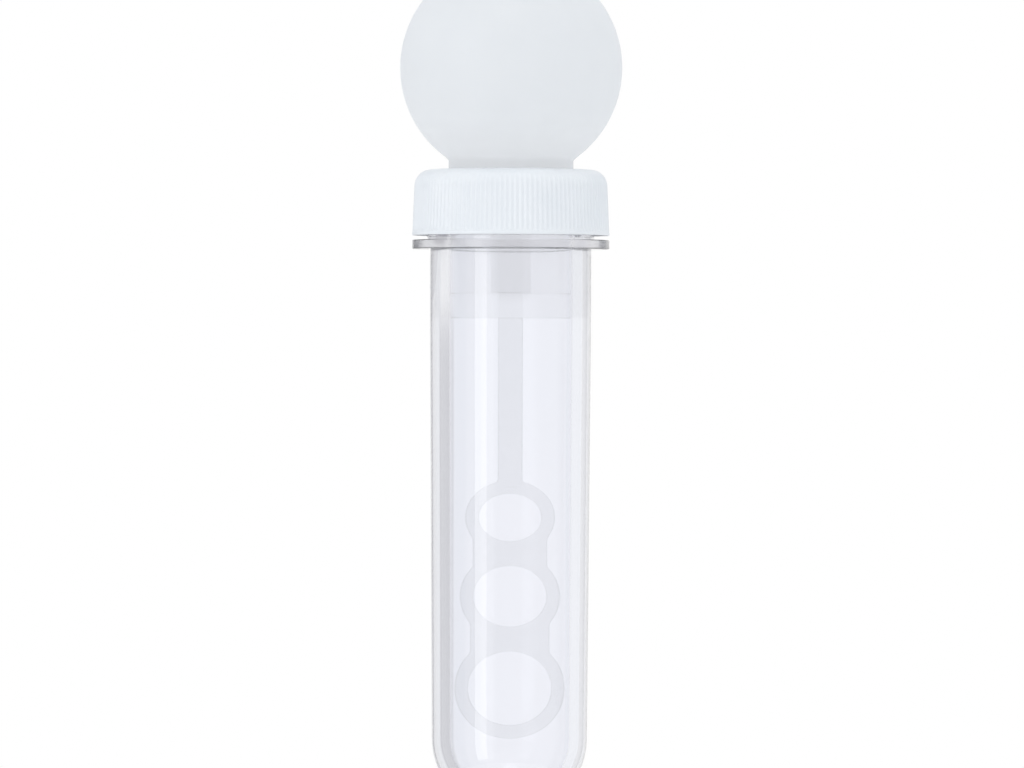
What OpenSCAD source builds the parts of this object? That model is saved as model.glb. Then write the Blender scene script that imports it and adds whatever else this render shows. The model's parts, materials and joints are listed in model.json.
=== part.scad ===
// Bubble wand in a clear screw-capped tube. Millimetres, +Z up along the tube.
// The origin is on the tube's axis at the underside of its support ring.
// The flat blade of the wand lies in the XZ plane.

/* [Tube] */
// Diameter of the straight shank under the support ring
shank_d = 27; // [25:0.1:28]
// Length of the straight shank
shank_len = 12; // [6:0.5:30]
// Diameter of the tube where the round bottom starts
tube_end_d = 26; // [24:0.1:26.5]
// Length from the support ring to the start of the round bottom
tube_len = 81.9; // [78:0.1:120]
// Diameter of the bore in the neck and the shank
bore_d = 20.4; // [20:0.1:20.8]
// Diameter of the bore where the round bottom starts
bore_end_d = 20; // [19.6:0.1:20.4]
// Diameter of the moulding gate's stub under the bottom
gate_d = 4; // [2:0.5:6]
// How far the gate's stub stands out
gate_h = 0.6; // [0.2:0.1:1.5]

/* [Neck] */
// Diameter of the support ring
support_d = 33; // [30:0.1:36]
// Thickness of the support ring
support_t = 1.5; // [1.2:0.05:2.6]
// Diameter of the bead above the support ring
bead_d = 28; // [27.6:0.1:29]
// Height of the bead
bead_h = 1.4; // [0.6:0.05:1.6]
// Diameter of the neck under the thread
neck_d = 25; // [24.4:0.1:25.4]
// Height of the lip above the underside of the support ring
neck_h = 10.6; // [10.3:0.1:14]
// Break on the edges of the support ring, the bead and the lip
edge_break = 0.3; // [0.1:0.05:0.5]

/* [Thread] */
// Rise in one turn
pitch = 3; // [2.8:0.1:3.2]
// Diameter over the thread of the neck
thread_d = 27.4; // [27:0.1:27.6]
// Angle that each thread runs round
thread_run = 360; // [270:10:380]
// Angle over which each end of a thread fades into its wall
thread_fade = 30; // [15:5:60]
// Width of the neck's thread at its root
neck_root_w = 1.9; // [1.5:0.1:2.1]
// Width of the neck's thread at its crest
neck_crest_w = 0.9; // [0.5:0.1:1.1]
// Width of the cap's thread at its root
cap_root_w = 1.6; // [1.2:0.1:1.8]
// Width of the cap's thread at its crest
cap_crest_w = 0.7; // [0.4:0.1:0.9]
// How far the two threads reach past each other
thread_bite = 0.85; // [0.5:0.05:1]
// Gap between the flanks that hold the cap down
flank_gap = 0.2; // [0.15:0.05:0.3]
// Gap between the bead and the lowest point of the cap's thread
thread_clear = 0.2; // [0.15:0.05:0.4]
// How far the cap's thread starts before the neck's, as an angle
thread_lead = 60; // [30:5:80]

/* [Cap] */
// Diameter over the ribs at the cap's lower edge
cap_d = 33; // [32:0.1:35]
// Diameter over the ribs, run on to the cap's top
cap_top_d = 32.1; // [31.4:0.1:33]
// Thickness of the cap's top
cap_top_t = 1.2; // [0.8:0.1:2]
// Wall left between the cap's bore and the narrow end of its ribs
cap_top_wall = 1.85; // [1:0.05:3]
// Radius of the rounded top edge
cap_edge_r = 2.8; // [1:0.1:3]
// Gap between the cap and the support ring
cap_gap = 0.76; // [0.2:0.02:1]
// Number of grip ribs
rib_count = 120; // [80:4:144]
// Depth of the grooves between the ribs
rib_depth = 0.3; // [0.15:0.05:0.4]
// Height of the plain hem below the ribs
hem_h = 0.5; // [0.3:0.1:1.5]
// How far the hem stands proud of the ribs
hem_proud = 0.05; // [0.03:0.01:0.15]
// Gap between the cap's wall and the bead
cap_bead_clear = 0.2; // [0.15:0.05:0.4]
// Running gap round the ball's plug in the cap's hole
hole_clear = 0.1; // [0.06:0.02:0.14]

/* [Seal] */
// Thickness of the sealing ring
seal_t = 1.5; // [1:0.1:2.5]
// Gap between the sealing ring and the plug
seal_clear = 0.05; // [0.03:0.01:0.1]
// How far the sealing ring stays inside the lip's outer edge
seal_inset = 0.2; // [0:0.1:0.6]

/* [Ball head] */
// Diameter of the ball
ball_d = 37.2; // [32:0.1:44]
// Wall of the ball and of its hollow plug
ball_wall = 1.3; // [0.9:0.1:1.8]
// Diameter of the ball's neck, which rests on the cap
ball_neck_d = 20.9; // [20.7:0.1:22]
// Height of the neck between the cap and the ball
ball_neck_h = 1.7; // [0.8:0.1:4]
// Gap between the plug and the tube's bore
plug_clear = 0.05; // [0.03:0.01:0.1]
// How far the plug reaches below the support ring, with its nose
plug_reach = 11.56; // [8:0.1:12]

/* [Stem socket] */
// Length of the tapered nose that closes the plug
nose_len = 4.16; // [2:0.1:6]
// Diameter of the nose's lower end
nose_d = 20; // [14:0.1:20.2]
// Gap between the nose's lower end and the bore
nose_gap = 0.2; // [0.1:0.1:3]
// Depth of the collar pressed into the plug
collar_h = 4; // [2:0.1:8]
// Wall of the collar
collar_wall = 1.4; // [0.8:0.1:2]
// Diameter of the boss round the stem
boss_d = 6.7; // [5.6:0.1:9]
// Height of the boss above the nose
boss_h = 13; // [6:0.5:16]
// Thickness of the boss's closed end
boss_end_t = 1.5; // [0.8:0.1:3]
// Gap of a pressed joint
press_clear = 0.02; // [0.01:0.005:0.03]

/* [Wand] */
// Diameter of the stem
stem_d = 4.1; // [3:0.1:4.5]
// Thickness of the flat rings
blade_t = 2.2; // [1.4:0.1:3]
// Width of the upper ring's hole
hole_1_w = 10.6; // [7:0.1:11.4]
// Height of the upper ring's hole
hole_1_h = 8; // [6:0.1:10]
// Width of the middle ring's hole
hole_2_w = 12.4; // [9:0.1:13]
// Height of the middle ring's hole
hole_2_h = 10.2; // [8:0.1:12]
// Width of the lower ring's hole
hole_3_w = 14.2; // [11:0.1:14.6]
// Height of the lower ring's hole
hole_3_h = 12.4; // [9:0.1:14]
// Width of the rims round the holes
rim_w = 2.2; // [1.4:0.1:2.3]
// How far neighbouring rims run into each other
rim_lap = 0.3; // [0.1:0.05:0.8]
// Width of the waist between the upper and the middle ring
waist_1_w = 12.4; // [8:0.1:13]
// Width of the waist between the middle and the lower ring
waist_2_w = 13.2; // [8:0.1:14]
// Gap between the wand and the bottom of the bore
wand_end_gap = 10; // [6:0.1:14]

/* [Hidden] */
$fn = 96;

// Depth by which a joined solid is sunk into its neighbour, and a cut runs past a face
sink = 0.2;
// Angle between the sections of a thread, and between the points of an oval or an arc
thread_step = 10;
oval_step = 5;
arc_step = 9;

// The nose sets every radius round it, and a cap whose top is too narrow moves every radius inside it in
nose_shift = (nose_d - bore_d) / 2 + nose_gap;
cap_pull = max(0, (bead_d - cap_top_d) / 2 + cap_bead_clear + cap_top_wall);
fit_step = nose_shift - cap_pull;

shank_r = shank_d / 2 + fit_step;
tube_end_r = tube_end_d / 2 + fit_step;
bore_r = bore_d / 2 + fit_step;
bore_end_r = bore_end_d / 2 + fit_step;
support_r = support_d / 2 + fit_step;
bead_r = bead_d / 2 + fit_step;
neck_r = neck_d / 2 + fit_step;
thread_r = thread_d / 2 + fit_step;
bead_top = support_t + bead_h;

plug_r = bore_r - plug_clear;
cap_hole_r = plug_r + hole_clear;
seal_in_r = plug_r + seal_clear;
seal_out_r = neck_r - seal_inset;

cap_low = support_t + cap_gap;
cap_ceiling = neck_h + seal_t;
cap_top = cap_ceiling + cap_top_t;
cap_r = cap_d / 2 + fit_step;
cap_top_r = cap_top_d / 2 + nose_shift;
cap_bore_r = bead_r + cap_bead_clear;

// The cap's thread runs in the groove under the neck's thread, one flank gap below it
cap_crest_r = thread_r - thread_bite;
bite_mid_r = thread_r - thread_bite / 2;
neck_w_mid = width_at(bite_mid_r, neck_r, neck_root_w, thread_r, neck_crest_w);
cap_w_mid = width_at(bite_mid_r, cap_bore_r, cap_root_w, cap_crest_r, cap_crest_w);
thread_drop = (neck_w_mid + cap_w_mid) / 2 + flank_gap;
cap_thread_z = bead_top + thread_clear + cap_root_w / 2;
neck_thread_z = cap_thread_z + thread_drop + pitch * thread_lead / 360;

ball_r = ball_d / 2;
ball_neck_r = ball_neck_d / 2 + fit_step;
ball_z = cap_top + ball_neck_h + sqrt(pow(ball_r, 2) - pow(ball_neck_r, 2));
plug_bore_r = plug_r - ball_wall;
plug_low = nose_len - plug_reach;

nose_end_r = nose_d / 2 - cap_pull;
boss_r = boss_d / 2;
boss_top = plug_low + boss_h;
collar_r = plug_bore_r - press_clear;
stem_r = stem_d / 2;
stem_bore_r = stem_r + press_clear;
stem_top = boss_top - boss_end_t;

// Ring by ring from the top: width and height of the hole, then the rings' heights from the end up
ring_fit = 2 * fit_step;
holes = [
    [hole_1_w + ring_fit, hole_1_h],
    [hole_2_w + ring_fit, hole_2_h],
    [hole_3_w + ring_fit, hole_3_h]
];
waists = [waist_1_w + ring_fit, waist_2_w + ring_fit];
wand_end = wand_end_gap - tube_len - bore_end_r;
ring_3_z = wand_end + hole_3_h / 2 + rim_w;
ring_2_z = ring_3_z + (hole_3_h + hole_2_h) / 2 + 2 * rim_w - rim_lap;
ring_1_z = ring_2_z + (hole_2_h + hole_1_h) / 2 + 2 * rim_w - rim_lap;
ring_z = [ring_1_z, ring_2_z, ring_3_z];

// Width of a thread at radius r, between its root and its crest
function width_at(r, root_r, root_w, crest_r, crest_w) =
    root_w + (crest_w - root_w) * (r - root_r) / (crest_r - root_r);

// How much of its full height a thread has, a angle round from its start
function fade_at(a) = max(0.05, min(1, a / thread_fade, (thread_run - a) / thread_fade));

// Four corners of a thread's section, from the smaller to the larger radius
function thread_section(root_r, root_w, crest_r, crest_w) =
    crest_r > root_r
    ? [[root_r, -root_w / 2], [crest_r, -crest_w / 2], [crest_r, crest_w / 2], [root_r, root_w / 2]]
    : [[crest_r, -crest_w / 2], [root_r, -root_w / 2], [root_r, root_w / 2], [crest_r, crest_w / 2]];

// Points of an oval of width w and height h
function oval(w, h) = [for (a = [0:oval_step:360 - oval_step]) [w / 2 * cos(a), h / 2 * sin(a)]];

// A ridge that climbs round the axis from height z at angle start
module thread(root_r, root_w, crest_r, crest_w, z, start) {
    steps = ceil(thread_run / thread_step);
    sections = [
        for (i = [0:steps])
            let (a = thread_run * i / steps)
            let (tip_r = root_r + (crest_r - root_r) * fade_at(a))
            for (p = thread_section(root_r, root_w, tip_r, crest_w))
                [p[0] * cos(start + a), p[0] * sin(start + a), z + pitch * a / 360 + p[1]]
    ];
    sides = [
        for (i = [0:steps - 1], k = [0:3])
            let (p = 4 * i + k, q = 4 * i + (k + 1) % 4)
            each [[p, q, q + 4], [p, q + 4, p + 4]]
    ];
    last = 4 * steps;
    ends = [[2, 1, 0], [3, 2, 0], [last, last + 1, last + 2], [last, last + 2, last + 3]];
    polyhedron(points = sections, faces = concat(sides, ends));
}

// Lower half of a ball at height z
module half_ball(r, z) {
    translate([0, 0, z])
        intersection() {
            sphere(r = r);
            translate([0, 0, -r])
                cube(2 * r, center = true);
        }
}

// Outside of the tube from the round bottom to the lip, turned about the axis
module tube_outside() {
    rotate_extrude()
        polygon([
            [0, -tube_len],
            [tube_end_r, -tube_len],
            [shank_r, -shank_len],
            [shank_r, 0],
            [support_r - edge_break, 0],
            [support_r, edge_break],
            [support_r, support_t - edge_break],
            [support_r - edge_break, support_t],
            [bead_r, support_t],
            [bead_r, bead_top - edge_break],
            [bead_r - edge_break, bead_top],
            [neck_r, bead_top],
            [neck_r, neck_h - edge_break],
            [neck_r - edge_break, neck_h],
            [0, neck_h]
        ]);
    half_ball(tube_end_r, -tube_len);
    translate([0, 0, -tube_len - tube_end_r - gate_h])
        cylinder(h = gate_h + sink, d = gate_d);
}

// Space inside the tube, open at the lip
module tube_inside() {
    rotate_extrude()
        polygon([
            [0, -tube_len],
            [bore_end_r, -tube_len],
            [bore_r, -shank_len],
            [bore_r, neck_h + sink],
            [0, neck_h + sink]
        ]);
    half_ball(bore_end_r, -tube_len);
}

module tube() {
    color([0.86, 0.88, 0.92, 0.4]) {
        difference() {
            tube_outside();
            tube_inside();
        }
        thread(neck_r - sink, neck_root_w, thread_r, neck_crest_w, neck_thread_z, 0);
    }
}

// Ribbed outside of the cap, a little narrower towards its top
module cap_ribs() {
    half_rib = 180 / rib_count;
    translate([0, 0, cap_low])
        linear_extrude(height = cap_top - cap_low, scale = cap_top_r / cap_r)
            polygon([
                for (i = [0:2 * rib_count - 1])
                    let (r = cap_r - rib_depth * (i % 2))
                    [r * cos(i * half_rib), r * sin(i * half_rib)]
            ]);
}

// Plain outside of the cap with its rounded top edge, just outside the ribs
module cap_envelope() {
    low_r = cap_r + hem_proud;
    top_r = cap_top_r + hem_proud;
    rotate_extrude()
        polygon(concat(
            [[0, cap_low], [low_r, cap_low]],
            [
                for (a = [0:arc_step:90])
                    [top_r - cap_edge_r * (1 - cos(a)), cap_top - cap_edge_r * (1 - sin(a))]
            ],
            [[0, cap_top]]
        ));
}

module screw_cap() {
    color([0.95, 0.95, 0.94]) {
        difference() {
            union() {
                intersection() {
                    cap_ribs();
                    cap_envelope();
                }
                translate([0, 0, cap_low])
                    cylinder(h = hem_h, r = cap_r + hem_proud);
            }
            translate([0, 0, cap_low - sink])
                cylinder(h = cap_ceiling - cap_low + sink, r = cap_bore_r);
            translate([0, 0, cap_low])
                cylinder(h = cap_top - cap_low + sink, r = cap_hole_r);
        }
        thread(cap_bore_r + sink, cap_root_w, cap_crest_r, cap_crest_w, cap_thread_z, -thread_lead);
    }
}

module seal_ring() {
    color([0.8, 0.82, 0.84])
        translate([0, 0, neck_h])
            difference() {
                cylinder(h = seal_t, r = seal_out_r);
                translate([0, 0, -sink])
                    cylinder(h = seal_t + 2 * sink, r = seal_in_r);
            }
}

module ball_head() {
    color([0.9, 0.91, 0.93, 0.8])
        difference() {
            union() {
                translate([0, 0, ball_z])
                    sphere(r = ball_r);
                translate([0, 0, cap_top])
                    cylinder(h = ball_z - cap_top, r = ball_neck_r);
                translate([0, 0, plug_low])
                    cylinder(h = ball_z - plug_low, r = plug_r);
            }
            translate([0, 0, ball_z])
                sphere(r = ball_r - ball_wall);
            translate([0, 0, plug_low - sink])
                cylinder(h = ball_z - plug_low + sink, r = plug_bore_r);
        }
}

module stem_socket() {
    color([0.9, 0.91, 0.93, 0.8])
        difference() {
            union() {
                translate([0, 0, -plug_reach])
                    cylinder(h = nose_len, r1 = nose_end_r, r2 = plug_r);
                translate([0, 0, plug_low - sink])
                    difference() {
                        cylinder(h = collar_h + sink, r = collar_r);
                        translate([0, 0, sink])
                            cylinder(h = collar_h + sink, r = collar_r - collar_wall);
                    }
                translate([0, 0, plug_low - sink])
                    cylinder(h = boss_h + sink, r = boss_r);
            }
            translate([0, 0, -plug_reach - sink])
                cylinder(h = stem_top + plug_reach + sink, r = stem_bore_r);
        }
}

// Flat outline of the three rings and their waists, with the holes cut out
module ring_outline() {
    difference() {
        union() {
            for (i = [0:2])
                translate([0, ring_z[i]])
                    polygon(oval(holes[i][0] + 2 * rim_w, holes[i][1] + 2 * rim_w));
            for (i = [0:1])
                translate([-waists[i] / 2, ring_z[i + 1]])
                    square([waists[i], ring_z[i] - ring_z[i + 1]]);
        }
        for (i = [0:2])
            translate([0, ring_z[i]])
                polygon(oval(holes[i][0], holes[i][1]));
    }
}

module wand() {
    // The stem ends half-way into the upper ring's rim
    stem_low = ring_z[0] + (hole_1_h + rim_w) / 2;
    color([0.92, 0.93, 0.94, 0.9]) {
        rotate([90, 0, 0])
            linear_extrude(height = blade_t, center = true)
                ring_outline();
        translate([0, 0, stem_low])
            cylinder(h = stem_top - stem_low, r = stem_r);
    }
}

tube();
screw_cap();
seal_ring();
ball_head();
stem_socket();
wand();
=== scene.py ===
"""Looks of a bubble wand in a clear screw-capped tube, in the part's frame: metres, +Z up the tube."""

import json
import math

import bpy
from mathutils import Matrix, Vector

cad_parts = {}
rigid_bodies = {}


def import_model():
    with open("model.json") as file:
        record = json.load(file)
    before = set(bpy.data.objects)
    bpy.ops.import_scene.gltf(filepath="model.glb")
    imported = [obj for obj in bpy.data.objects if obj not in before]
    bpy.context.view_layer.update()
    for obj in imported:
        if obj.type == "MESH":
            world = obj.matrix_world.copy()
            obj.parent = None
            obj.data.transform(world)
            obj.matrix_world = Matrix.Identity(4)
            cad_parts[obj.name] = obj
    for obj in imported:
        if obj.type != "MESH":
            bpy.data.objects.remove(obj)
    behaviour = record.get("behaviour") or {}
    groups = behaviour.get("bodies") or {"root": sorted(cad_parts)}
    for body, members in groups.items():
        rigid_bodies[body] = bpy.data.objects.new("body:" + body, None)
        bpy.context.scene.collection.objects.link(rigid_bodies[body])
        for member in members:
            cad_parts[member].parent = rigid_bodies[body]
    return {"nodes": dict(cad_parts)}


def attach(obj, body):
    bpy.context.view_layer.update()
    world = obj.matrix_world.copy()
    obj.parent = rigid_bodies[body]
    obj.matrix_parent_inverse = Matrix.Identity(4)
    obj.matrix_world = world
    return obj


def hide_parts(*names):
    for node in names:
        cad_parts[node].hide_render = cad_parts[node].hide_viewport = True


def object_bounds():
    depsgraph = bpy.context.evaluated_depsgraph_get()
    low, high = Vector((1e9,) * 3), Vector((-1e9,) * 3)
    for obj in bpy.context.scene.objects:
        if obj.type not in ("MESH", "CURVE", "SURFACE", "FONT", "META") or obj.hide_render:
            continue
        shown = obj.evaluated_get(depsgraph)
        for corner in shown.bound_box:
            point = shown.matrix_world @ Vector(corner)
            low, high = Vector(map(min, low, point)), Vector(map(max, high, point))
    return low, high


# Sizes of the part are millimetres until a mesh or a material is made
MM = 0.001
SAME = 1e-6

# Tube and neck
SHANK_R = 13.5
SHANK_LEN = 12.0
TUBE_END_R = 13.0
TUBE_LEN = 81.9
BORE_R = 10.2
BORE_END_R = 10.0
GATE_R = 2.0
GATE_H = 0.6
GATE_SINK = 0.1
GATE_ROUND = 0.2
SUPPORT_R = 16.5
SUPPORT_T = 1.5
SUPPORT_ROUND = 0.15
BEAD_R = 14.0
BEAD_TOP = 2.9
BEAD_ROUND = 0.3
NECK_R = 12.5
NECK_H = 10.6
NECK_FOOT_H = 0.3
NECK_FOOT_ROUND = 0.2
LIP_H = 0.6
LIP_ROUND = 0.3

# Threads of the neck and of the cap
PITCH = 3.0
THREAD_FADE = math.radians(30)
THREAD_LEAD = math.radians(60)
NECK_THREAD_Z = 5.72
NECK_THREAD_H = 1.2
NECK_THREAD_ROOT = 1.9
NECK_THREAD_CREST = 0.9
CAP_THREAD_Z = 3.9
CAP_THREAD_H = 1.35
CAP_THREAD_ROOT = 1.6
CAP_THREAD_CREST = 0.7

# Cap
CAP_LOW = 2.26
CAP_TOP = 13.3
CAP_CEILING = 12.1
CAP_R = 16.5
CAP_TOP_R = 16.05
CAP_EDGE_R = 2.8
CAP_BORE_R = 14.2
CAP_BORE_LEAD = 1.0
CAP_HOLE_R = 10.25
CAP_HOLE_ROUND = 0.2
CEILING_HOLE_ROUND = 0.15
CEILING_ROUND = 0.5
RIB_COUNT = 120
RIB_DEPTH = 0.2
RIB_FADE = 0.4
RIB_SAMPLES = 6
HEM_H = 0.5
HEM_OUT = 0.05
HEM_ROUND = 0.15
EDGE_LEAD = 0.1

# Ball, plug, stem socket and seal
BALL_R = 18.6
BALL_WALL = 1.3
BALL_NECK_R = 10.45
BALL_NECK_H = 1.7
BALL_NECK_LEAD = 0.2
BALL_NECK_TOP = CAP_TOP + BALL_NECK_H
BALL_Z = BALL_NECK_TOP + math.sqrt(BALL_R ** 2 - BALL_NECK_R ** 2)
PLUG_R = 10.15
PLUG_BORE_R = 8.85
PLUG_LOW = -7.4
PLUG_TOP_ROUND = 0.05
NOSE_LOW = -11.56
NOSE_ROUND = 0.15
BOSS_R = 3.35
BOSS_TOP = 5.6
BOSS_ROUND = 0.4
SEAL_GAP = 0.05
SEAL_INSET = 0.2
SEAL_INNER_ROUND = 0.2
SEAL_OUTER_ROUND = 0.3

# The soft plug is drawn larger by what the bore, the seal and the cap's hole squeeze it
PLUG_SQUEEZE = 0.09

# Wand
WAND_VOXEL = 0.16
WAND_SOFTEN = 0.5
WAND_SOFTEN_ROUNDS = 8

# Fineness of the meshes
FILLET = 0.1
TURN_SEGMENTS = 192
ARC_STEPS = 8
TUBE_WALL_STEPS = 24
TUBE_END_STEPS = 40
NECK_WALL_STEPS = 60
CAP_WALL_STEPS = 12
CAP_EDGE_STEPS = 14
CAP_BORE_STEPS = 70
BALL_STEPS = 72
PLUG_BORE_STEPS = 10

# Clear tube: roughness of bore, outside and support ring, the tint of walls seen edge on, and a share of
# that grey painted on the support ring as shade
CLEAR_IOR = 1.575
CLEAR_COLOURS = ((0.936, 0.946, 0.978), (0.946, 0.951, 0.983))
EDGE_ON_AND_RIM_SHADE_COLOUR = (0.84, 0.84, 0.865, 1)
EDGE_ON_RANGE = (0.5, 0.7)
BORE_ROUGHNESS = 0.08
SKIN_ROUGHNESS = 0.012
RIM_ROUGHNESS = 0.18
# Share of the edge-on grey painted all over the support ring as shade
RIM_PAINTED_SHADE = 0.95

# Cap and seal
PLASTIC_IOR = 1.49
CAP_COLOURS = ((0.84, 0.865, 0.9), (0.87, 0.89, 0.92))
SEAL_COLOURS = ((0.74, 0.76, 0.78), (0.8, 0.82, 0.84))

# Haze of the frosted pieces: the share that it covers, face on and at the outline, and its colours
BALL_COVER = 0.92
# The neck's haze is thinner than the ball's as painted light: more white shows through and lifts the
# shade under the ball
NECK_COVER = 0.6
PLUG_COVER = 0.037
WAND_COVER = 0.055
POLISHED_COVER = 0.009
PLUG_LIMB_COVER = 0.4
WAND_LIMB_COVER = 0.18
LIMB_RANGE = (0.6, 1.0)
ONWARD_SHARE = 0.5
BALL_COLOURS = ((0.95, 0.965, 0.985), (0.965, 0.978, 0.995))
PLUG_COLOURS = ((0.3, 0.33, 0.36), (0.33, 0.36, 0.39))
WAND_COLOURS = ((0.2, 0.24, 0.26), (0.23, 0.27, 0.29))

# Widths over which one finish passes into the next, and how far the neck's finish runs down
FINISH_BLEND = 0.2
NECK_BLEND = 0.4
NECK_DROP = 0.6
BALL_BLEND = 7.0
BALL_RISE = 0.1


def arc(centre_r, centre_z, radius, start, end, steps):
    """Points of an arc in the turning plane, from one angle to another, in degrees."""
    points = []
    for i in range(steps + 1):
        angle = math.radians(start + (end - start) * i / steps)
        points.append((centre_r + radius * math.cos(angle), centre_z + radius * math.sin(angle)))
    return points


def rounded(corners, closed=False):
    """Points of an outline of (radius, height, rounding) corners, each rounding drawn as an arc."""
    points = []
    count = len(corners)
    for i, (r, z, rounding) in enumerate(corners):
        at_end = not closed and i in (0, count - 1)
        if rounding == 0 or at_end:
            points.append((r, z))
            continue
        here = Vector((r, z))
        back = (Vector(corners[i - 1][:2]) - here).normalized()
        ahead = (Vector(corners[(i + 1) % count][:2]) - here).normalized()
        half = back.angle(ahead) / 2
        reach = rounding / math.tan(half)
        centre = here + (back + ahead).normalized() * rounding / math.sin(half)
        first = here + back * reach - centre
        turn = first.angle_signed(here + ahead * reach - centre)
        for k in range(ARC_STEPS + 1):
            angle = turn * k / ARC_STEPS
            spoke = Vector((
                first.x * math.cos(angle) + first.y * math.sin(angle),
                first.y * math.cos(angle) - first.x * math.sin(angle),
            ))
            points.append(tuple(centre + spoke))
    return points


def stretch(low, high, steps):
    """Points in even steps along a straight line of an outline, its ends left out."""
    return [
        (low[0] + (high[0] - low[0]) * i / steps, low[1] + (high[1] - low[1]) * i / steps)
        for i in range(1, steps)
    ]


def add_object(name, mesh):
    obj = bpy.data.objects.new(name, mesh)
    bpy.context.scene.collection.objects.link(obj)
    return obj


def lathe(name, outline, segments=TURN_SEGMENTS, closed=False, bulge=None):
    """Turns an outline about the axis. bulge(r, z, angle) moves single points in or out."""
    vertices = []
    rows = []
    for r, z in outline:
        turned = segments if r > SAME else 1
        rows.append([len(vertices) + k for k in range(turned)])
        for k in range(turned):
            angle = 2 * math.pi * k / segments
            reach = r + (bulge(r, z, angle) if bulge else 0)
            vertices.append((reach * math.cos(angle) * MM, reach * math.sin(angle) * MM, z * MM))
    faces = []
    for low, high in zip(rows, rows[1:] + rows[:1] if closed else rows[1:]):
        on_axis = len(low) == 1 and len(high) == 1
        for k in range(0 if on_axis else segments):
            n = (k + 1) % segments
            if len(low) == 1:
                faces.append((low[0], high[n], high[k]))
            elif len(high) == 1:
                faces.append((low[k], low[n], high[0]))
            else:
                faces.append((low[k], low[n], high[n], high[k]))
    mesh = bpy.data.meshes.new(name)
    mesh.from_pydata(vertices, [], faces)
    mesh.shade_smooth()
    return add_object(name, mesh)


def ridge(angle, z, start, start_z, root_w, crest_w):
    """Height share, 0 to 1, of a single-turn thread at a place on its wall."""
    around = (angle - start) % (2 * math.pi)
    fade = min(1, around / THREAD_FADE, (2 * math.pi - around) / THREAD_FADE)
    off_centre = abs(z - start_z - PITCH * around / (2 * math.pi))
    flank = (root_w / 2 - off_centre) / ((root_w - crest_w) / 2)
    return fade * max(0, min(1, flank))


# Parts of materials


def new_material(name):
    material = bpy.data.materials.new(name)
    material.use_nodes = True
    tree = material.node_tree
    return material, tree, tree.nodes["Principled BSDF"]


def add_noise(tree, scale, detail, stretch_z=1.0):
    """Noise in the piece's own coordinates, with scale in cells per metre."""
    place = tree.nodes.new("ShaderNodeTexCoord")
    mapping = tree.nodes.new("ShaderNodeMapping")
    mapping.inputs["Scale"].default_value = (1, 1, stretch_z)
    tree.links.new(place.outputs["Object"], mapping.inputs["Vector"])
    noise = tree.nodes.new("ShaderNodeTexNoise")
    noise.inputs["Scale"].default_value = scale
    noise.inputs["Detail"].default_value = detail
    tree.links.new(mapping.outputs["Vector"], noise.inputs["Vector"])
    return noise.outputs["Fac"]


def ramp_between(tree, factor, low, high, socket):
    """Links a socket to a range of grey or colour that follows a 0 to 1 factor."""
    ramp = tree.nodes.new("ShaderNodeValToRGB")
    ramp.color_ramp.elements[0].position = 0.3
    ramp.color_ramp.elements[1].position = 0.7
    ramp.color_ramp.elements[0].color = (*low, 1)
    ramp.color_ramp.elements[1].color = (*high, 1)
    tree.links.new(factor, ramp.inputs["Fac"])
    tree.links.new(ramp.outputs["Color"], socket)


def rough_between(tree, shader, factor, low, high):
    """Roughness that follows a 0 to 1 factor."""
    ramp_between(tree, factor, (low, low, low), (high, high, high), shader.inputs["Roughness"])


def add_bump(tree, shader, height, strength, depth):
    """Bump from a 0 to 1 height, with its depth in millimetres."""
    bump = tree.nodes.new("ShaderNodeBump")
    bump.inputs["Strength"].default_value = strength
    bump.inputs["Distance"].default_value = depth * MM
    tree.links.new(height, bump.inputs["Height"])
    tree.links.new(bump.outputs["Normal"], shader.inputs["Normal"])


def step_between(tree, value, start, end, before, after, shape="LINEAR"):
    """Runs from before to after, each a socket or a float, while a value runs from start to end."""
    share = tree.nodes.new("ShaderNodeMapRange")
    share.interpolation_type = shape
    share.inputs["From Min"].default_value = start
    share.inputs["From Max"].default_value = end
    tree.links.new(value, share.inputs["Value"])
    for name, level in (("To Min", before), ("To Max", after)):
        if isinstance(level, float):
            share.inputs[name].default_value = level
        else:
            tree.links.new(level, share.inputs[name])
    return share.outputs["Result"]


def pass_edge(tree, distance, edge, before, after, blend=FINISH_BLEND, shape="LINEAR"):
    """Runs from before to after where a distance in the piece passes an edge, in millimetres."""
    return step_between(tree, distance, edge * MM, (edge + blend) * MM, before, after, shape)


def split_place(tree):
    """Place on the piece in its own coordinates, split into X, Y and Z."""
    place = tree.nodes.new("ShaderNodeTexCoord")
    split = tree.nodes.new("ShaderNodeSeparateXYZ")
    tree.links.new(place.outputs["Object"], split.inputs["Vector"])
    return split.outputs


def along_axis(tree):
    return split_place(tree)["Z"]


def off_axis(tree):
    place = split_place(tree)
    level = tree.nodes.new("ShaderNodeCombineXYZ")
    tree.links.new(place["X"], level.inputs["X"])
    tree.links.new(place["Y"], level.inputs["Y"])
    length = tree.nodes.new("ShaderNodeVectorMath")
    length.operation = "LENGTH"
    tree.links.new(level.outputs["Vector"], length.inputs[0])
    return length.outputs["Value"]


def off_ball_centre(tree):
    place = tree.nodes.new("ShaderNodeTexCoord")
    distance = tree.nodes.new("ShaderNodeVectorMath")
    distance.operation = "DISTANCE"
    distance.inputs[1].default_value = (0, 0, BALL_Z * MM)
    tree.links.new(place.outputs["Object"], distance.inputs[0])
    return distance.outputs["Value"]


def turned_away(tree):
    """Turn of the surface from the look: 0 where it is seen face on, 1 edge on."""
    angle = tree.nodes.new("ShaderNodeLayerWeight")
    angle.inputs["Blend"].default_value = 0.5
    return angle.outputs["Facing"]


def limb_haze(tree, cover, limb_cover):
    """Haze that thickens towards the outline, where a look runs further through the wall."""
    return step_between(tree, turned_away(tree), *LIMB_RANGE, cover, limb_cover)


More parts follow.
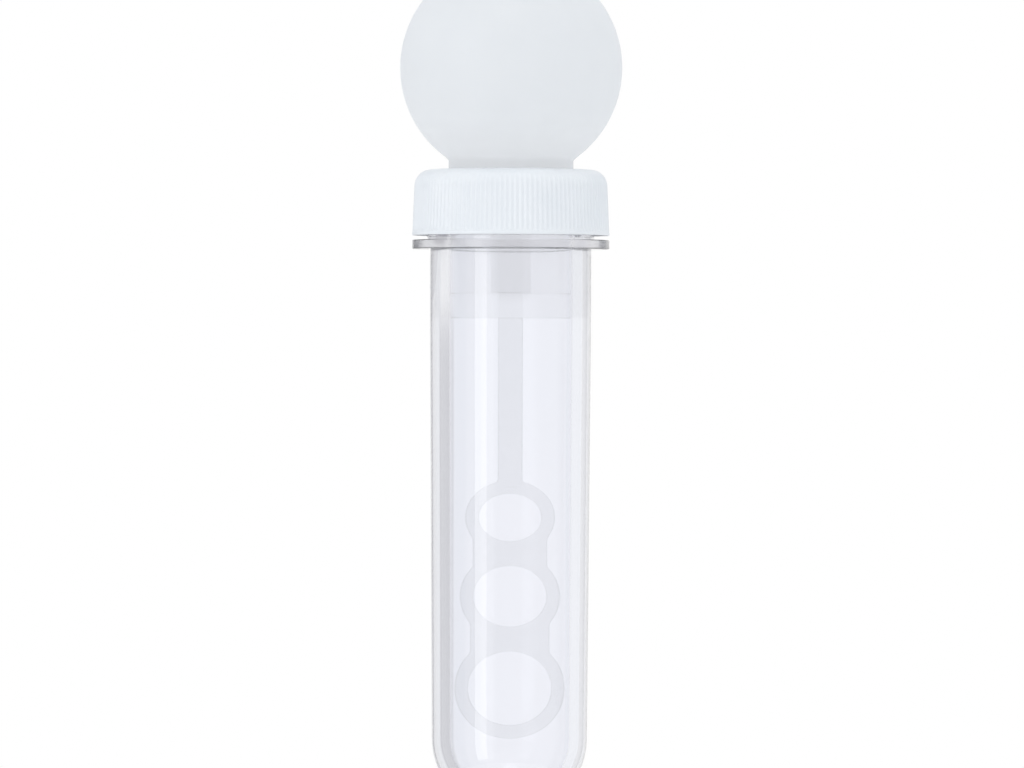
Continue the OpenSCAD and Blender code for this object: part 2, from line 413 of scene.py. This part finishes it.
def plug_haze(tree):
    """Haze of the plug's outer face, with the faces nearer to the axis left polished."""
    haze = limb_haze(tree, PLUG_COVER, PLUG_LIMB_COVER)
    return pass_edge(tree, off_axis(tree), PLUG_R - BALL_WALL / 2, POLISHED_COVER, haze)


def pass_light(tree, shader, haze, colour):
    """Lets a share of the haze pass light on instead of throwing it back, as a thin frosted wall does."""
    onward = tree.nodes.new("ShaderNodeBsdfTranslucent")
    tree.links.new(colour, onward.inputs["Color"])
    clear = tree.nodes.new("ShaderNodeBsdfTransparent")
    wall = tree.nodes.new("ShaderNodeMixShader")
    tree.links.new(haze, wall.inputs["Fac"])
    tree.links.new(clear.outputs["BSDF"], wall.inputs[1])
    tree.links.new(onward.outputs["BSDF"], wall.inputs[2])
    both = tree.nodes.new("ShaderNodeMixShader")
    both.inputs["Fac"].default_value = ONWARD_SHARE
    tree.links.new(shader.outputs["BSDF"], both.inputs[1])
    tree.links.new(wall.outputs["Shader"], both.inputs[2])
    tree.links.new(both.outputs["Shader"], tree.nodes["Material Output"].inputs["Surface"])


# Materials


def clear_plastic():
    """Polished clear moulding with a faint waviness, darker edge on, a slightly hazy bore, and painted
    shade that greys the support ring.
    """
    material, tree, shader = new_material("clear_tube")
    shader.inputs["Transmission Weight"].default_value = 1.0
    shader.inputs["IOR"].default_value = CLEAR_IOR
    waves = add_noise(tree, scale=90, detail=2, stretch_z=0.3)
    add_bump(tree, shader, waves, strength=0.05, depth=0.2)
    distance = off_axis(tree)
    wall_mid = (BORE_R + SHANK_R) / 2
    rim = (BEAD_R + SUPPORT_R) / 2

    skin = pass_edge(tree, distance, wall_mid, BORE_ROUGHNESS, SKIN_ROUGHNESS)
    rough = pass_edge(tree, distance, rim, skin, RIM_ROUGHNESS)
    tree.links.new(rough, shader.inputs["Roughness"])

    edge_on = step_between(tree, turned_away(tree), *EDGE_ON_RANGE, 0.0, 1.0)
    skin_tint = pass_edge(tree, distance, wall_mid, 0.0, edge_on)
    tint = tree.nodes.new("ShaderNodeMix")
    tint.data_type = "RGBA"
    # Past the rim the edge-on grey is painted on the support ring as shade, however the ring is seen
    tree.links.new(pass_edge(tree, distance, rim, skin_tint, RIM_PAINTED_SHADE), tint.inputs["Factor"])
    ramp_between(tree, waves, *CLEAR_COLOURS, tint.inputs["A"])
    tint.inputs["B"].default_value = EDGE_ON_AND_RIM_SHADE_COLOUR
    tree.links.new(tint.outputs["Result"], shader.inputs["Base Color"])
    return material


def white_plastic():
    """Satin white moulding with a fine grain."""
    material, tree, shader = new_material("white_cap")
    shader.inputs["IOR"].default_value = PLASTIC_IOR
    clouds = add_noise(tree, scale=160, detail=3)
    ramp_between(tree, clouds, *CAP_COLOURS, shader.inputs["Base Color"])
    rough_between(tree, shader, clouds, 0.32, 0.42)
    shader.inputs["Subsurface Weight"].default_value = 0.15
    shader.inputs["Subsurface Radius"].default_value = (1, 1, 1)
    shader.inputs["Subsurface Scale"].default_value = 0.8 * MM
    add_bump(tree, shader, add_noise(tree, scale=2600, detail=4), strength=0.12, depth=0.1)
    return material


def soft_seal():
    """Matt soft sealing ring."""
    material, tree, shader = new_material("soft_seal")
    clouds = add_noise(tree, scale=300, detail=3)
    ramp_between(tree, clouds, *SEAL_COLOURS, shader.inputs["Base Color"])
    rough_between(tree, shader, clouds, 0.7, 0.85)
    add_bump(tree, shader, add_noise(tree, scale=1800, detail=3), strength=0.2, depth=0.1)
    return material


def frosted_plastic(name):
    """Frosted moulding with a fine grain, and the flow clouds that its colour follows."""
    material, tree, shader = new_material(name)
    shader.inputs["IOR"].default_value = PLASTIC_IOR
    clouds = add_noise(tree, scale=110, detail=3)
    rough_between(tree, shader, clouds, 0.42, 0.5)
    add_bump(tree, shader, add_noise(tree, scale=2200, detail=4), strength=0.1, depth=0.1)
    return material, tree, shader, clouds


def frosted_ball():
    """Dense haze on the ball, thinner on its neck and foot as painted light against the shade there, thin
    haze on the plug, and a polished hollow.
    """
    material, tree, shader, clouds = frosted_plastic("frosted_ball")
    height = along_axis(tree)
    on_neck = pass_edge(tree, height, CAP_TOP - NECK_DROP, 0.0, 1.0, NECK_BLEND)
    colour = tree.nodes.new("ShaderNodeMix")
    colour.data_type = "RGBA"
    tree.links.new(on_neck, colour.inputs["Factor"])
    ramp_between(tree, clouds, *PLUG_COLOURS, colour.inputs["A"])
    ramp_between(tree, clouds, *BALL_COLOURS, colour.inputs["B"])
    tree.links.new(colour.outputs["Result"], shader.inputs["Base Color"])

    # Painted light: the neck keeps thinner haze, which thickens to the ball's only over BALL_BLEND, so
    # white shows through the shade between ball and cap
    neck = pass_edge(tree, off_axis(tree), PLUG_R - BALL_WALL / 2, POLISHED_COVER, NECK_COVER)
    low = step_between(tree, on_neck, 0.0, 1.0, plug_haze(tree), neck)
    rising = pass_edge(tree, height, BALL_NECK_TOP, NECK_COVER, BALL_COVER, BALL_BLEND, "SMOOTHSTEP")
    ball = pass_edge(tree, off_ball_centre(tree), BALL_R - BALL_WALL / 2, POLISHED_COVER, rising)
    haze = pass_edge(tree, height, BALL_NECK_TOP + BALL_RISE, low, ball)
    tree.links.new(haze, shader.inputs["Alpha"])
    pass_light(tree, shader, haze, colour.outputs["Result"])
    return material


def frosted_plug():
    """Thin haze on the outer face of the plug's end."""
    material, tree, shader, clouds = frosted_plastic("frosted_plug")
    ramp_between(tree, clouds, *PLUG_COLOURS, shader.inputs["Base Color"])
    tree.links.new(plug_haze(tree), shader.inputs["Alpha"])
    return material


def frosted_wand():
    """Thin haze on the rings and the stem, with the stretch inside the plug left polished."""
    material, tree, shader, clouds = frosted_plastic("frosted_wand")
    ramp_between(tree, clouds, *WAND_COLOURS, shader.inputs["Base Color"])
    haze = limb_haze(tree, WAND_COVER, WAND_LIMB_COVER)
    haze = pass_edge(tree, along_axis(tree), NOSE_LOW, haze, POLISHED_COVER)
    tree.links.new(haze, shader.inputs["Alpha"])
    return material


# Pieces


def make_tube():
    """Clear tube from its moulding gate up round the outside to the lip and back down the bore."""
    bottom_z = -TUBE_LEN - TUBE_END_R
    gate_angle = math.degrees(math.asin(GATE_R / TUBE_END_R))
    wall_low = BEAD_TOP + NECK_FOOT_H
    wall_high = NECK_H - LIP_H
    outline = rounded([
        (0, bottom_z - GATE_H, 0),
        (GATE_R, bottom_z - GATE_H, GATE_ROUND),
        (GATE_R, bottom_z + GATE_SINK, 0),
    ])
    outline += arc(0, -TUBE_LEN, TUBE_END_R, gate_angle - 90, 0, TUBE_END_STEPS)[1:]
    outline += stretch((TUBE_END_R, -TUBE_LEN), (SHANK_R, -SHANK_LEN), TUBE_WALL_STEPS)
    outline += rounded([
        (SHANK_R, -SHANK_LEN, 0),
        (SHANK_R, 0, FILLET),
        (SUPPORT_R, 0, SUPPORT_ROUND),
        (SUPPORT_R, SUPPORT_T, SUPPORT_ROUND),
        (BEAD_R, SUPPORT_T, FILLET),
        (BEAD_R, BEAD_TOP, BEAD_ROUND),
        (NECK_R, BEAD_TOP, NECK_FOOT_ROUND),
        (NECK_R, wall_low, 0),
    ])
    outline += stretch((NECK_R, wall_low), (NECK_R, wall_high), NECK_WALL_STEPS)
    outline += rounded([
        (NECK_R, wall_high, 0),
        (NECK_R, NECK_H, LIP_ROUND),
        (BORE_R, NECK_H, LIP_ROUND),
        (BORE_R, -SHANK_LEN, 0),
    ])
    outline += stretch((BORE_R, -SHANK_LEN), (BORE_END_R, -TUBE_LEN), TUBE_WALL_STEPS)
    outline += arc(0, -TUBE_LEN, BORE_END_R, 0, -90, TUBE_END_STEPS)[:-1]
    outline.append((0, -TUBE_LEN - BORE_END_R))

    def thread(r, z, angle):
        if abs(r - NECK_R) > SAME:
            return 0
        return NECK_THREAD_H * ridge(angle, z, 0, NECK_THREAD_Z, NECK_THREAD_ROOT, NECK_THREAD_CREST)

    return lathe("clear_tube", outline, bulge=thread)


def make_cap():
    """White cap: ribbed outside with a rounded top edge, hole for the plug, threaded inside."""
    ribs_low = CAP_LOW + HEM_H
    ribs_high = CAP_TOP - CAP_EDGE_R
    lean = (CAP_R - CAP_TOP_R) / (CAP_TOP - CAP_LOW)
    wall_r = CAP_R - lean * HEM_H
    edge_r = CAP_TOP_R + lean * CAP_EDGE_R
    flat_r = edge_r - CAP_EDGE_R
    bore_top = CAP_CEILING - CAP_BORE_LEAD
    outline = rounded([
        (CAP_BORE_R, CAP_LOW, 0),
        (CAP_R + HEM_OUT, CAP_LOW, HEM_ROUND),
        (CAP_R + HEM_OUT, ribs_low, FILLET),
        (wall_r, ribs_low + EDGE_LEAD, 0),
    ])
    outline += stretch((wall_r, ribs_low + EDGE_LEAD), (edge_r, ribs_high), CAP_WALL_STEPS)
    outline += arc(flat_r, ribs_high, CAP_EDGE_R, 0, 90, CAP_EDGE_STEPS)
    outline += rounded([
        (flat_r - EDGE_LEAD, CAP_TOP, 0),
        (CAP_HOLE_R, CAP_TOP, CAP_HOLE_ROUND),
        (CAP_HOLE_R, CAP_CEILING, CEILING_HOLE_ROUND),
        (CAP_BORE_R, CAP_CEILING, CEILING_ROUND),
        (CAP_BORE_R, bore_top, 0),
    ])
    outline += stretch((CAP_BORE_R, bore_top), (CAP_BORE_R, CAP_LOW), CAP_BORE_STEPS)

    def shape(r, z, angle):
        if abs(r - CAP_BORE_R) < SAME:
            share = ridge(angle, z, -THREAD_LEAD, CAP_THREAD_Z, CAP_THREAD_ROOT, CAP_THREAD_CREST)
            return -CAP_THREAD_H * share
        if r < flat_r or z <= ribs_low:
            return 0
        groove = 0.5 - 0.5 * math.cos(RIB_COUNT * angle)
        fade = min(1, (z - ribs_low) / RIB_FADE, (CAP_TOP - z) / CAP_EDGE_R)
        return -RIB_DEPTH * groove * max(0, fade)

    return lathe("screw_cap_shell", outline, segments=RIB_COUNT * RIB_SAMPLES, closed=True, bulge=shape)


def make_seal():
    """Soft ring round the plug, between the tube's lip and the cap's ceiling."""
    inner_r = PLUG_R + SEAL_GAP
    outer_r = NECK_R - SEAL_INSET
    outline = rounded([
        (inner_r, NECK_H, SEAL_INNER_ROUND),
        (outer_r, NECK_H, SEAL_OUTER_ROUND),
        (outer_r, CAP_CEILING, SEAL_OUTER_ROUND),
        (inner_r, CAP_CEILING, SEAL_INNER_ROUND),
    ], closed=True)
    return lathe("seal_washer", outline, closed=True)


def make_ball():
    """Hollow ball on its neck and plug, one moulding."""
    plug_r = PLUG_R + PLUG_SQUEEZE
    neck_angle = -math.degrees(math.acos(BALL_NECK_R / BALL_R))
    inner_r = BALL_R - BALL_WALL
    bore_angle = -math.degrees(math.acos(PLUG_BORE_R / inner_r))
    outline = rounded([
        (PLUG_BORE_R, PLUG_LOW, 0),
        (plug_r, PLUG_LOW, 0),
        (plug_r, CAP_TOP, PLUG_TOP_ROUND),
        (BALL_NECK_R, CAP_TOP, FILLET),
        (BALL_NECK_R, BALL_NECK_TOP - BALL_NECK_LEAD, 0),
    ])
    outline += arc(0, BALL_Z, BALL_R, neck_angle, 90, BALL_STEPS)[1:-1]
    outline.append((0, BALL_Z + BALL_R))
    outline.append((0, BALL_Z + inner_r))
    outline += arc(0, BALL_Z, inner_r, 90, bore_angle, BALL_STEPS)[1:]
    outline += stretch(outline[-1], (PLUG_BORE_R, PLUG_LOW), PLUG_BORE_STEPS)
    return lathe("ball_handle", outline, closed=True)


def make_socket():
    """Nose that closes the plug, with the boss that stands on it and is filled by the stem."""
    nose_r = PLUG_R + PLUG_SQUEEZE
    outline = rounded([
        (0, NOSE_LOW, 0),
        (nose_r, NOSE_LOW, NOSE_ROUND),
        (nose_r, PLUG_LOW, 0),
        (BOSS_R, PLUG_LOW, BOSS_ROUND),
        (BOSS_R, BOSS_TOP, BOSS_ROUND),
        (0, BOSS_TOP, 0),
    ])
    return lathe("stem_plug", outline)


def make_wand(solid):
    """Stem and rings with the soft edges of a moulding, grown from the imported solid."""
    wand = add_object("ring_wand", solid.data.copy())
    remesh = wand.modifiers.new("remesh", "REMESH")
    remesh.mode = "VOXEL"
    remesh.voxel_size = WAND_VOXEL * MM
    remesh.use_smooth_shade = True
    soften = wand.modifiers.new("soften", "SMOOTH")
    soften.factor = WAND_SOFTEN
    soften.iterations = WAND_SOFTEN_ROUNDS
    graph = bpy.context.evaluated_depsgraph_get()
    made = bpy.data.meshes.new_from_object(wand.evaluated_get(graph))
    wand.modifiers.clear()
    wand.data = made
    wand.data.shade_smooth()
    return wand


def finish_piece(obj, material, body, node):
    """Gives a piece its material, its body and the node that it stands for."""
    obj.data.materials.clear()
    obj.data.materials.append(material)
    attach(obj, body)
    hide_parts(node)


# Stage, in metres, with azimuths in degrees to the right of the camera

CAMERA_DISTANCE = 1.6
CAMERA_ROLL = -0.16
SENSOR_W = 36
LAMP_AIM = Vector((0, 0, -0.02))
SCREEN_STEPS = 24
WORLD_COLOUR = (0.95, 0.98, 1.0, 1)
WORLD_STRENGTH = 0.925
FLOOR_R = 0.16
FLOOR_SEGMENTS = 96
FLOOR_COLOUR = (0.93, 0.93, 0.93, 1)

# The photograph: pixels across, pixels per millimetre, the axis in pixels, the middle in millimetres
IMAGE_W = 1024
PHOTO_SCALE = 5.97
AXIS_COLUMN = 510.4
IMAGE_CENTRE_Z = -22.6


def make_camera():
    """Level camera in front of the flat rings, framed as the photograph is."""
    data = bpy.data.cameras.new("camera")
    camera = bpy.data.objects.new("camera", data)
    bpy.context.scene.collection.objects.link(camera)
    seen_w = IMAGE_W / PHOTO_SCALE * MM
    data.sensor_width = SENSOR_W
    data.lens = CAMERA_DISTANCE * data.sensor_width / seen_w
    aside = (IMAGE_W / 2 - AXIS_COLUMN) / PHOTO_SCALE * MM
    camera.location = (aside, -CAMERA_DISTANCE, IMAGE_CENTRE_Z * MM)
    camera.rotation_euler = (math.radians(90), math.radians(CAMERA_ROLL), 0)
    data.clip_start = 0.05
    data.clip_end = 20
    bpy.context.scene.camera = camera


def add_lamp(name, azimuth, height, distance, width, length, watts):
    """Area lamp that looks at the object."""
    data = bpy.data.lights.new(name, "AREA")
    data.shape = "RECTANGLE"
    data.size = width
    data.size_y = length
    data.energy = watts
    lamp = bpy.data.objects.new(name, data)
    bpy.context.scene.collection.objects.link(lamp)
    angle = math.radians(azimuth)
    lamp.location = (distance * math.sin(angle), -distance * math.cos(angle), height)
    aim = LAMP_AIM - lamp.location
    lamp.rotation_euler = aim.to_track_quat("-Z", "Y").to_euler()


def add_screen(name, azimuths, radius, heights, colour, in_glass=True):
    """Curved studio wall that only gloss and, with in_glass, glass see."""
    start, end = azimuths
    vertices = []
    for i in range(SCREEN_STEPS + 1):
        angle = math.radians(start + (end - start) * i / SCREEN_STEPS)
        for z in heights:
            vertices.append((radius * math.sin(angle), -radius * math.cos(angle), z))
    faces = [(2 * i, 2 * i + 2, 2 * i + 3, 2 * i + 1) for i in range(SCREEN_STEPS)]
    mesh = bpy.data.meshes.new(name)
    mesh.from_pydata(vertices, [], faces)
    screen = add_object(name, mesh)
    material = bpy.data.materials.new(name)
    material.use_nodes = True
    tree = material.node_tree
    glow = tree.nodes.new("ShaderNodeEmission")
    glow.inputs["Color"].default_value = (*colour, 1)
    tree.links.new(glow.outputs["Emission"], tree.nodes["Material Output"].inputs["Surface"])
    mesh.materials.append(material)
    screen.visible_camera = False
    screen.visible_diffuse = False
    screen.visible_transmission = in_glass
    screen.visible_shadow = False


def make_world():
    """White surroundings for the camera, gloss and glass, and a softer even light for the surfaces."""
    world = bpy.data.worlds.new("studio")
    bpy.context.scene.world = world
    world.use_nodes = True
    tree = world.node_tree
    light = tree.nodes["Background"]
    light.inputs["Color"].default_value = WORLD_COLOUR
    light.inputs["Strength"].default_value = WORLD_STRENGTH
    white = tree.nodes.new("ShaderNodeBackground")
    white.inputs["Color"].default_value = (1, 1, 1, 1)
    white.inputs["Strength"].default_value = 1.0
    path = tree.nodes.new("ShaderNodeLightPath")
    seen = path.outputs["Is Camera Ray"]
    for kind in ("Is Glossy Ray", "Is Transmission Ray"):
        either = tree.nodes.new("ShaderNodeMath")
        either.operation = "MAXIMUM"
        tree.links.new(seen, either.inputs[0])
        tree.links.new(path.outputs[kind], either.inputs[1])
        seen = either.outputs["Value"]
    mix = tree.nodes.new("ShaderNodeMixShader")
    tree.links.new(seen, mix.inputs["Fac"])
    tree.links.new(light.outputs["Background"], mix.inputs[1])
    tree.links.new(white.outputs["Background"], mix.inputs[2])
    tree.links.new(mix.outputs["Shader"], tree.nodes["World Output"].inputs["Surface"])


def make_floor(floor_z):
    """Pale round floor that fades out into the white surroundings."""
    ring = []
    for k in range(FLOOR_SEGMENTS):
        angle = 2 * math.pi * k / FLOOR_SEGMENTS
        ring.append((FLOOR_R * math.cos(angle), FLOOR_R * math.sin(angle), floor_z))
    mesh = bpy.data.meshes.new("floor")
    mesh.from_pydata(ring, [], [tuple(range(FLOOR_SEGMENTS))])
    floor = add_object("floor", mesh)
    material, tree, shader = new_material("floor")
    shader.inputs["Base Color"].default_value = FLOOR_COLOUR
    shader.inputs["Roughness"].default_value = 0.9
    place = tree.nodes.new("ShaderNodeTexCoord")
    gradient = tree.nodes.new("ShaderNodeTexGradient")
    gradient.gradient_type = "SPHERICAL"
    mapping = tree.nodes.new("ShaderNodeMapping")
    mapping.inputs["Location"].default_value = (0, 0, -floor_z / FLOOR_R)
    mapping.inputs["Scale"].default_value = (1 / FLOOR_R, 1 / FLOOR_R, 1 / FLOOR_R)
    tree.links.new(place.outputs["Object"], mapping.inputs["Vector"])
    tree.links.new(mapping.outputs["Vector"], gradient.inputs["Vector"])
    ramp_between(tree, gradient.outputs["Fac"], (0, 0, 0), (1, 1, 1), shader.inputs["Alpha"])
    mesh.materials.append(material)
    floor.visible_transmission = False
    floor.visible_glossy = False


for leftover in list(bpy.data.objects):
    bpy.data.objects.remove(leftover)

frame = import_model()
cad_box = [list(corner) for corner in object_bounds()]

make_camera()
make_world()
make_floor(cad_box[0][2])

# Lamps and screens: the front ones light and gloss the object, the others make the bands in the wall
add_lamp("strip_softbox", azimuth=-38, height=0.0, distance=1.0, width=0.5, length=1.5, watts=0.9)
add_screen("strip_front", (-52, -34), 0.9, (-0.57, 0.7), (2.3, 2.3, 2.3), in_glass=False)
add_lamp("top_softbox", azimuth=-5, height=1.0, distance=0.45, width=0.5, length=0.5, watts=0.8)
add_screen("front_wall", (-100, 100), 2.2, (-1.6, 1.6), (0.5, 0.5, 0.55), in_glass=False)
add_screen("left_flag", (-149, -118), 0.3, (-0.3, -0.0085), (0.64, 0.64, 0.66))
add_screen("left_flag_high", (-147, -121), 1.5, (0.06, 1.2), (0.57, 0.57, 0.59))
add_screen("left_edge", (-160, -126), 1.4, (-1.2, 1.2), (0.3, 0.3, 0.33), in_glass=False)
add_screen("left_soft", (-167, -147), 1.5, (-1.2, 1.2), (0.93, 0.94, 0.95))
add_screen("left_pale", (-174, -167), 1.5, (-1.2, 1.2), (0.97, 0.975, 0.98))
add_screen("right_soft", (116, 152), 1.5, (-1.2, 1.2), (0.92, 0.93, 0.95))
add_screen("right_edge", (125, 144), 1.4, (-1.2, 1.2), (0.2, 0.21, 0.23), in_glass=False)

finish_piece(make_tube(), clear_plastic(), "tube", "tube")
finish_piece(make_cap(), white_plastic(), "cap", "screw_cap")
finish_piece(make_seal(), soft_seal(), "seal", "seal_ring")
finish_piece(make_ball(), frosted_ball(), "wand", "ball_head")
finish_piece(make_socket(), frosted_plug(), "wand", "stem_socket")
finish_piece(make_wand(frame["nodes"]["wand"]), frosted_wand(), "wand", "wand")

bpy.context.scene.view_settings.view_transform = "Standard"
